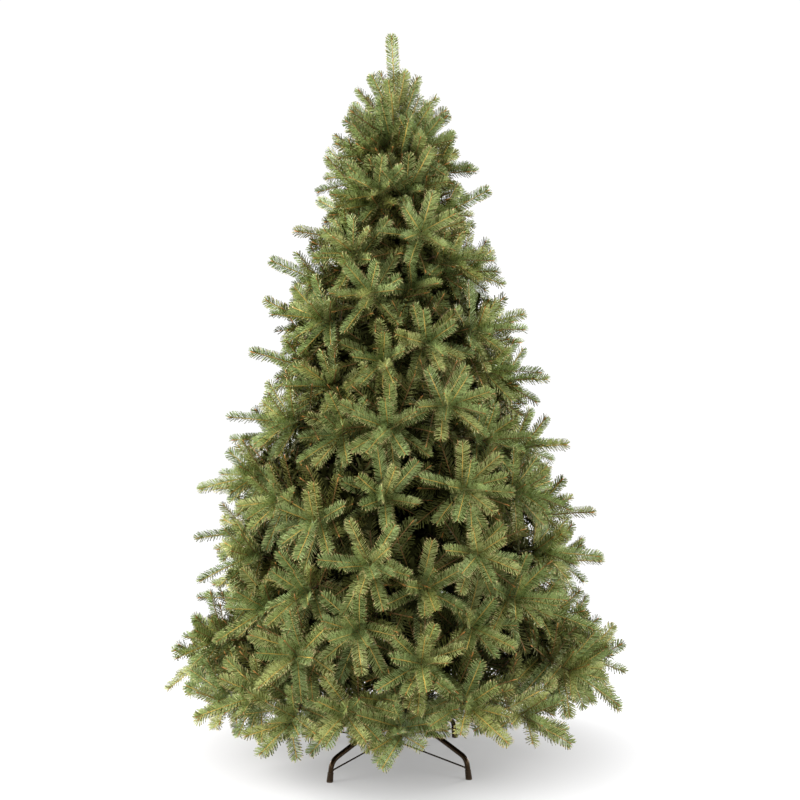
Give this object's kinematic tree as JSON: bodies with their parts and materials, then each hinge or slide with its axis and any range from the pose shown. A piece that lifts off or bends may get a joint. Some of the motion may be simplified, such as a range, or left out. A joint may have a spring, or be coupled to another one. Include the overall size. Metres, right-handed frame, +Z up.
{
  "type": "artificial spruce tree",
  "caption": "Full-size artificial spruce with dense moulded tips on a steel pole, standing undecorated on a folding steel stand.",
  "frame": {"origin": "on the floor, midway between the feet, under the axis of the pole", "axes": "+Z up along the pole to the tip of the leader; -Y towards the front, +X to the right seen from the front"},
  "size_m": [1.3878, 1.4225, 2.286],
  "materials": {
    "needles": "soft matt moulded needles in several greens",
    "bark": "wire boughs and stems in amber-brown tape",
    "pole": "dark green satin enamel",
    "stand": "dark bronze-brown gloss enamel",
    "foot": "dark brown plastic cap",
    "screw": "dark zinc plate"
  },
  "bodies": {
    "root": {"bough_1": "bark", "bough_2": "bark", "bough_3": "bark", "bough_4": "bark", "bough_5": "bark", "bough_6": "bark", "foliage_1_1": "needles", "foliage_1_2": "needles", "foliage_1_3": "needles", "foliage_1_4": "needles", "foliage_1_5": "needles", "foliage_1_6": "needles", "foliage_2_1": "needles", "foliage_2_2": "needles", "foliage_2_3": "needles", "foliage_2_4": "needles", "foliage_2_5": "needles", "foliage_2_6": "needles", "foliage_3_1": "needles", "foliage_3_2": "needles", "foliage_3_3": "needles", "foliage_3_4": "needles", "foliage_3_5": "needles", "foliage_3_6": "needles", "foliage_4_1": "needles", "foliage_4_2": "needles", "foliage_4_3": "needles", "foliage_4_4": "needles", "foliage_4_5": "needles", "foliage_5_1": "needles", "foliage_5_2": "needles", "foliage_5_3": "needles", "foliage_5_4": "needles", "foliage_5_5": "needles", "foliage_6_1": "needles", "foliage_6_2": "needles", "foliage_6_3": "needles", "foliage_6_4": "needles", "foliage_7_1": "needles", "foliage_7_2": "needles", "foliage_7_3": "needles", "foliage_top": "needles", "pole": "pole", "stand_brace_1": "stand", "stand_brace_2": "stand", "stand_brace_3": "stand", "stand_brace_4": "stand", "stand_collar": "stand", "stand_foot_1": "foot", "stand_foot_2": "foot", "stand_foot_3": "foot", "stand_foot_4": "foot", "stand_leg_1": "stand", "stand_leg_2": "stand", "stand_leg_3": "stand", "stand_leg_4": "stand", "stand_screw_1": "screw", "stand_screw_2": "screw", "stand_sleeve": "stand"}
  },
  "joints": []
}
